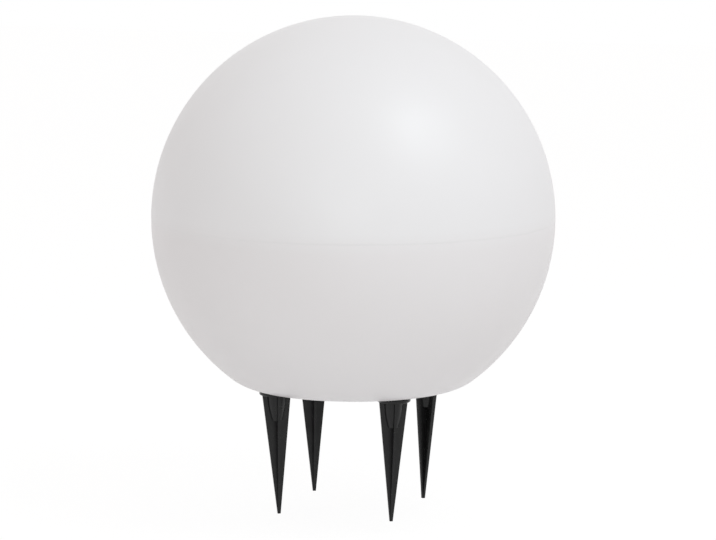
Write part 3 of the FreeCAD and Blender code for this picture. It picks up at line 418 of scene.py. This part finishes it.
def globe_outline():
    """Outer skin from the top down to the well, the well's side and ledge, and the inner skin back up.
    Heights are from the ball's centre."""
    ledge = WELL_DEEP - SEAT_DROP
    slope = math.tan(LEAN)
    apex = SPIKE_CIRCLE * slope - SEAT_DROP - SEAT_STEP
    centre_r, centre_z, meet = dish(BALL_RAD, EDGE_ROUND, apex)
    fade = math.asin(SEAM_FADE / BALL_RAD)
    lowest = -math.pi / 2 - LEAN
    points = arc(0.0, 0.0, BALL_RAD, math.pi / 2, fade)
    points += seam_edge(SEAM_FADE, SEAM_TALL / 2, SEAM_PROUD)[1:]
    points += seam_edge(-SEAM_TALL / 2, -SEAM_FADE, -SEAM_TUCK)
    points += arc(0.0, 0.0, BALL_RAD, -fade, meet)[1:]
    points += arc(centre_r, centre_z, EDGE_ROUND, meet, lowest)[1:]
    lip_r = WELL_RAD + WELL_LIP
    points += arc(lip_r, apex - lip_r * slope + WELL_LIP, WELL_LIP, -math.pi / 2, -math.pi)
    points += [(WELL_RAD, ledge), (MOUTH_RAD, ledge), (MOUTH_RAD, ledge + WALL)]
    inner_apex = apex + WALL
    well_side = WELL_RAD + WALL
    points += [(well_side, ledge + WALL), (well_side, inner_apex - well_side * slope)]
    centre_r, centre_z, meet = dish(BALL_RAD - WALL, EDGE_ROUND - WALL, inner_apex)
    points += arc(centre_r, centre_z, EDGE_ROUND - WALL, lowest, meet)
    points += arc(0.0, 0.0, BALL_RAD - WALL, meet, math.pi / 2)[1:]
    points[0] = (0.0, BALL_RAD)
    points[-1] = (0.0, BALL_RAD - WALL)
    return [(radius, height + BALL_Z) for radius, height in points]


def cylinder(name, radius, low, high, place, axis):
    """A closed cylinder between two heights along an axis through a place."""
    mesh = revolved(name, [(0.0, low), (radius, low), (radius, high), (0.0, high)], FINE_TURNS)
    turn = Vector((0.0, 0.0, 1.0)).rotation_difference(Vector(axis)).to_matrix().to_4x4()
    mesh.transform(Matrix.Translation(Vector(place)) @ turn)
    return mesh


def carve(target, tools, operation):
    """Joins the tool meshes, which stand apart, to the target's mesh or cuts them out of it."""
    together = bmesh.new()
    for mesh in tools:
        together.from_mesh(mesh)
    mesh = bpy.data.meshes.new(operation)
    together.to_mesh(mesh)
    together.free()
    tool = bpy.data.objects.new(operation, mesh)
    scene.collection.objects.link(tool)
    change = target.modifiers.new(operation, "BOOLEAN")
    change.operation = operation
    change.solver = "EXACT"
    change.object = tool
    graph = bpy.context.evaluated_depsgraph_get()
    target.data = bpy.data.meshes.new_from_object(target.evaluated_get(graph))
    target.modifiers.clear()
    bpy.data.objects.remove(tool)


def smooth(mesh, angle):
    """Shades the mesh smooth, apart from edges sharper than the angle."""
    mesh.polygons.foreach_set("use_smooth", [True] * len(mesh.polygons))
    mesh.set_sharp_from_angle(angle=angle)


def globe():
    """The moulding, with a seat, boss and bore for each spike and a lug for each cover screw."""
    mesh = revolved("globe", globe_outline(), GLOBE_TURNS)
    piece = new_piece("globe", mesh, "white_polyethylene")
    seats = [joints[f"spike_{i}_turn"] for i in range(1, SPIKES + 1)]
    ledge = BALL_Z + WELL_DEEP - SEAT_DROP
    lugs = []
    for i in range(SPIKES):
        angle = math.pi / 2 * (i + 0.5)
        lugs.append((LUG_CIRCLE * math.cos(angle), LUG_CIRCLE * math.sin(angle), ledge))
    up = (0.0, 0.0, 1.0)
    carve(piece, [cylinder("boss", BOSS_RAD, SEAT_STEP, BOSS_TALL, seat["pos_m"], seat["axis"])
                  for seat in seats], "UNION")
    carve(piece, [cylinder("lug", LUG_RAD, WALL / 2, LUG_TALL, place, up) for place in lugs], "UNION")
    carve(piece, [cylinder("seat", SEAT_RAD, -SEAT_CUT, 0.0, seat["pos_m"], seat["axis"])
                  for seat in seats], "DIFFERENCE")
    carve(piece, [cylinder("bore", BORE_RAD, -WALL, BORE_DEEP, seat["pos_m"], seat["axis"])
                  for seat in seats], "DIFFERENCE")
    carve(piece, [cylinder("lug_bore", LUG_BORE_RAD, -WALL, LUG_BORE_DEEP, place, up)
                  for place in lugs], "DIFFERENCE")
    smooth(piece.data, SMOOTH_ANGLE)
    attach(piece, body_of_node["globe_shell"])
    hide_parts("globe_shell")


def refined(node):
    """A copy of a CAD node's mesh with its seams welded, flats made whole, edges rounded and curved
    faces shaded smooth."""
    source = frame["nodes"][node]
    shape = bmesh.new()
    shape.from_mesh(source.data)
    bmesh.ops.remove_doubles(shape, verts=shape.verts, dist=WELD)
    bmesh.ops.dissolve_limit(shape, angle_limit=FLAT_ANGLE, verts=shape.verts, edges=shape.edges,
                             delimit={"NORMAL"})
    mesh = bpy.data.meshes.new(node + "_fine")
    shape.to_mesh(mesh)
    shape.free()
    piece = new_piece(node + "_fine", mesh, slot_of_node[node])
    piece.matrix_world = source.matrix_world
    smooth(mesh, BEVEL_ANGLE)
    bevel = piece.modifiers.new("Rounding", "BEVEL")
    bevel.width = ROUNDINGS.get(node, ROUNDING)
    bevel.segments = ROUNDING_STEPS
    bevel.limit_method = "ANGLE"
    bevel.angle_limit = BEVEL_ANGLE
    normals = piece.modifiers.new("Normals", "WEIGHTED_NORMAL")
    normals.keep_sharp = True
    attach(piece, body_of_node[node])
    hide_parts(node)


globe()
for node in frame["nodes"]:
    if node != "globe_shell":
        refined(node)


# ---------------------------------------------------------------- floor, light and camera

def seen_share(tree):
    """1 for the rays that show a background: from the camera, a gloss or through glass."""
    path = tree.nodes.new("ShaderNodeLightPath")
    share = path.outputs["Is Camera Ray"]
    for ray in ("Is Glossy Ray", "Is Transmission Ray"):
        larger = tree.nodes.new("ShaderNodeMath")
        larger.operation = "MAXIMUM"
        tree.links.new(share, larger.inputs[0])
        tree.links.new(path.outputs[ray], larger.inputs[1])
        share = larger.outputs["Value"]
    return share


def floor():
    """A pale floor that shows as white and keeps a soft shadow."""
    half = FLOOR_HALF
    mesh = bpy.data.meshes.new("floor")
    mesh.from_pydata([(-half, -half, 0), (half, -half, 0), (half, half, 0), (-half, half, 0)], [],
                     [(0, 1, 2, 3)])
    plane = bpy.data.objects.new("floor", mesh)
    scene.collection.objects.link(plane)
    plane.location.z = FLOOR_Z
    shader = Shader("pale_floor")
    shader.set(Roughness=0.9, Specular_IOR_Level=0.1)
    tone = shader.blend(shader.noise(FLOOR_PATCH), *FLOOR_TONES)
    shader.join(tone, shader.surface.inputs["Base Color"])
    glow = shader.add("ShaderNodeEmission")
    glow.inputs["Color"].default_value = (1.0, 1.0, 1.0, 1.0)
    glow.inputs["Strength"].default_value = FLOOR_WHITE
    share = shader.add("ShaderNodeMath", operation="MULTIPLY")
    share.inputs[1].default_value = FLOOR_GLOW
    shader.join(seen_share(shader.tree), share.inputs[0])
    mix = shader.add("ShaderNodeMixShader")
    shader.join(share.outputs["Value"], mix.inputs["Fac"])
    shader.join(shader.surface.outputs["BSDF"], mix.inputs[1])
    shader.join(glow.outputs["Emission"], mix.inputs[2])
    shader.join(mix.outputs["Shader"], shader.tree.nodes["Material Output"].inputs["Surface"])
    mesh.materials.append(shader.material)


def studio():
    """Even light all round that shows as white."""
    world = bpy.data.worlds.new("studio")
    scene.world = world
    world.use_nodes = True
    tree = world.node_tree
    light = tree.nodes["Background"]
    light.inputs["Color"].default_value = (*AMBIENT_COLOUR, 1.0)
    light.inputs["Strength"].default_value = AMBIENT
    white = tree.nodes.new("ShaderNodeBackground")
    white.inputs["Color"].default_value = (1.0, 1.0, 1.0, 1.0)
    white.inputs["Strength"].default_value = 1.0
    mix = tree.nodes.new("ShaderNodeMixShader")
    tree.links.new(seen_share(tree), mix.inputs["Fac"])
    tree.links.new(light.outputs["Background"], mix.inputs[1])
    tree.links.new(white.outputs["Background"], mix.inputs[2])
    tree.links.new(mix.outputs["Shader"], tree.nodes["World Output"].inputs["Surface"])


def camera():
    """The photograph's viewpoint."""
    back = Vector((math.sin(CAMERA_TURN) * math.cos(CAMERA_RISE),
                   -math.cos(CAMERA_TURN) * math.cos(CAMERA_RISE), math.sin(CAMERA_RISE)))
    heading = CAMERA_TURN - CAMERA_YAW
    ahead = Vector((-math.sin(heading) * math.cos(CAMERA_PITCH),
                    math.cos(heading) * math.cos(CAMERA_PITCH), -math.sin(CAMERA_PITCH)))
    data = bpy.data.cameras.new("camera")
    data.sensor_fit = "HORIZONTAL"
    data.sensor_width = CAMERA_SENSOR
    data.lens = CAMERA_LENS
    viewer = bpy.data.objects.new("camera", data)
    viewer.location = BALL_CENTRE + back * CAMERA_FAR
    level = ahead.to_track_quat("-Z", "Y")
    viewer.rotation_euler = (level @ Quaternion((0.0, 0.0, 1.0), CAMERA_ROLL)).to_euler()
    scene.collection.objects.link(viewer)
    scene.camera = viewer
    return viewer


def lamp(name, side, power, colour, viewer):
    """A square soft lamp aimed at the globe from a side that the camera's axes give."""
    data = bpy.data.lights.new(name, "AREA")
    data.size = LAMP_SIZE
    data.energy = power
    data.color = colour
    towards = (viewer.rotation_euler.to_matrix() @ Vector(side)).normalized()
    light = bpy.data.objects.new(name, data)
    light.location = BALL_CENTRE + towards * LAMP_FAR
    light.rotation_euler = (-towards).to_track_quat("-Z", "Y").to_euler()
    scene.collection.objects.link(light)


floor()
studio()
viewer = camera()
lamp("key", KEY_SIDE, KEY_POWER, KEY_COLOUR, viewer)
lamp("fill", FILL_SIDE, FILL_POWER, FILL_COLOUR, viewer)
scene.view_settings.view_transform = "Standard"
